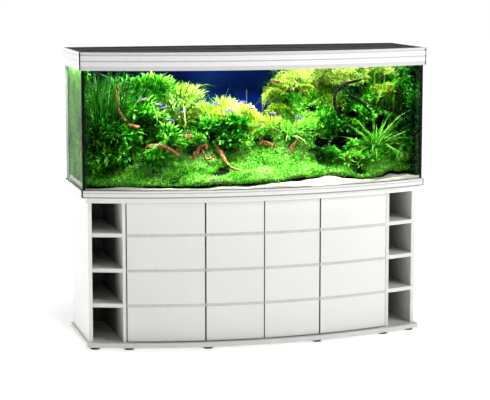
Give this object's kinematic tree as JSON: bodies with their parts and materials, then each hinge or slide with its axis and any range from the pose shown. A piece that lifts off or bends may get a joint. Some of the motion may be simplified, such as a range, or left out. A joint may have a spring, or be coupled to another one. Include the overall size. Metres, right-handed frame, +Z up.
{
  "type": "aquarium on stand",
  "caption": "Bow-front planted aquarium with a lift-off flap hood on a bow-front cabinet with hinged doors and open end shelves.",
  "frame": {"origin": "on the floor, under the middle of the object's box", "axes": "+Z up, +X to the right seen from the front, -Y out of the bowed front"},
  "size_m": [1.8, 0.69, 1.48],
  "materials": {
    "white_board": "satin white foil",
    "band_grey": "satin",
    "black_plastic": "fine texture",
    "flap_plastic": "polished",
    "plunger_grey": "smooth",
    "steel": "turned",
    "nylon": "smooth",
    "clear_glass": "polished",
    "silicone": "satin",
    "white_plastic": "satin",
    "night_blue": "smooth",
    "pale_sand": "grainy",
    "bog_wood": "rough",
    "leaf_green": "leafy",
    "foam": "open cell",
    "light_metal": "anodised"
  },
  "bodies": {
    "cabinet_and_tank": {"feet": "black_plastic", "plinth_board": "white_board", "top_board": "white_board", "side_panel_left": "white_board", "side_panel_right": "white_board", "divider_left": "white_board", "divider_right": "white_board", "centre_partition": "white_board", "back_panel": "white_board", "bay_shelves_left": "white_board", "bay_shelves_right": "white_board", "inner_shelves": "white_board", "shelf_pins": "steel", "carcass_screws": "steel", "pivot_bushes": "nylon", "latch_housings": "black_plastic", "front_pane": "clear_glass", "side_pane_left": "clear_glass", "side_pane_right": "clear_glass", "back_pane": "clear_glass", "bottom_pane": "clear_glass", "silicone_seams": "silicone", "glass_braces": "clear_glass", "base_frame_front": "white_plastic", "base_frame_sides": "white_plastic", "base_corner_trims": "black_plastic", "background_panel": "night_blue", "sand_bed": "pale_sand", "driftwood": "bog_wood", "planting": "leaf_green", "filter_box": "black_plastic", "filter_sponge": "foam", "filter_pump": "black_plastic", "heater": "clear_glass"},
    "door_outer_left_leaf": {"door_outer_left": "white_board", "bands_outer_left": "band_grey", "pivot_pins_outer_left": "steel"},
    "door_inner_left_leaf": {"door_inner_left": "white_board", "bands_inner_left": "band_grey", "pivot_pins_inner_left": "steel"},
    "door_inner_right_leaf": {"door_inner_right": "white_board", "bands_inner_right": "band_grey", "pivot_pins_inner_right": "steel"},
    "door_outer_right_leaf": {"door_outer_right": "white_board", "bands_outer_right": "band_grey", "pivot_pins_outer_right": "steel"},
    "plunger_outer_left": {"latch_plunger_outer_left": "plunger_grey"},
    "plunger_inner_left": {"latch_plunger_inner_left": "plunger_grey"},
    "plunger_inner_right": {"latch_plunger_inner_right": "plunger_grey"},
    "plunger_outer_right": {"latch_plunger_outer_right": "plunger_grey"},
    "hood": {"hood_front_fascia": "white_plastic", "hood_side_fascias": "white_plastic", "hood_corner_trims": "black_plastic", "hood_deck": "black_plastic", "light_bars": "light_metal", "flap_hinge_rods": "steel"},
    "front_left_flap": {"flap_front_left": "flap_plastic"},
    "front_right_flap": {"flap_front_right": "flap_plastic"},
    "rear_left_flap": {"flap_rear_left": "flap_plastic"},
    "rear_right_flap": {"flap_rear_right": "flap_plastic"}
  },
  "joints": [
    {"name": "door_outer_left_hinge", "type": "hinge", "parent": "cabinet_and_tank", "child": "door_outer_left_leaf", "pos_m": [-0.664, -0.19028, 0.388], "axis": [0, 0, -1], "range_deg": [0, 100]},
    {"name": "door_inner_left_hinge", "type": "hinge", "parent": "cabinet_and_tank", "child": "door_inner_left_leaf", "pos_m": [-0.017, -0.28444, 0.388], "axis": [0, 0, 1], "range_deg": [0, 90]},
    {"name": "door_outer_right_hinge", "type": "hinge", "parent": "cabinet_and_tank", "child": "door_outer_right_leaf", "pos_m": [0.664, -0.19028, 0.388], "axis": [0, 0, 1], "range_deg": [0, 100]},
    {"name": "door_inner_right_hinge", "type": "hinge", "parent": "cabinet_and_tank", "child": "door_inner_right_leaf", "pos_m": [0.017, -0.28444, 0.388], "axis": [0, 0, -1], "range_deg": [0, 90]},
    {"name": "latch_outer_left_push", "type": "slide", "parent": "cabinet_and_tank", "child": "plunger_outer_left", "axis": [0, 1, 0], "range_m": [0, 0.004], "stiffness_N_per_m": 300, "springref_m": -0.002},
    {"name": "latch_inner_left_push", "type": "slide", "parent": "cabinet_and_tank", "child": "plunger_inner_left", "axis": [0, 1, 0], "range_m": [0, 0.004], "stiffness_N_per_m": 300, "springref_m": -0.002},
    {"name": "latch_outer_right_push", "type": "slide", "parent": "cabinet_and_tank", "child": "plunger_outer_right", "axis": [0, 1, 0], "range_m": [0, 0.004], "stiffness_N_per_m": 300, "springref_m": -0.002},
    {"name": "latch_inner_right_push", "type": "slide", "parent": "cabinet_and_tank", "child": "plunger_inner_right", "axis": [0, 1, 0], "range_m": [0, 0.004], "stiffness_N_per_m": 300, "springref_m": -0.002},
    {"name": "hood_lift", "type": "slide", "parent": "cabinet_and_tank", "child": "hood", "axis": [0, 0, 1], "range_m": [0, 0.25]},
    {"name": "front_left_flap_hinge", "type": "hinge", "parent": "hood", "child": "front_left_flap", "pos_m": [0, 0.022, 1.476], "axis": [-1, 0, 0], "range_deg": [0, 95]},
    {"name": "rear_left_flap_hinge", "type": "hinge", "parent": "hood", "child": "rear_left_flap", "pos_m": [0, 0.078, 1.476], "axis": [1, 0, 0], "range_deg": [0, 95]},
    {"name": "front_right_flap_hinge", "type": "hinge", "parent": "hood", "child": "front_right_flap", "pos_m": [0, 0.022, 1.476], "axis": [-1, 0, 0], "range_deg": [0, 95]},
    {"name": "rear_right_flap_hinge", "type": "hinge", "parent": "hood", "child": "rear_right_flap", "pos_m": [0, 0.078, 1.476], "axis": [1, 0, 0], "range_deg": [0, 95]}
  ]
}
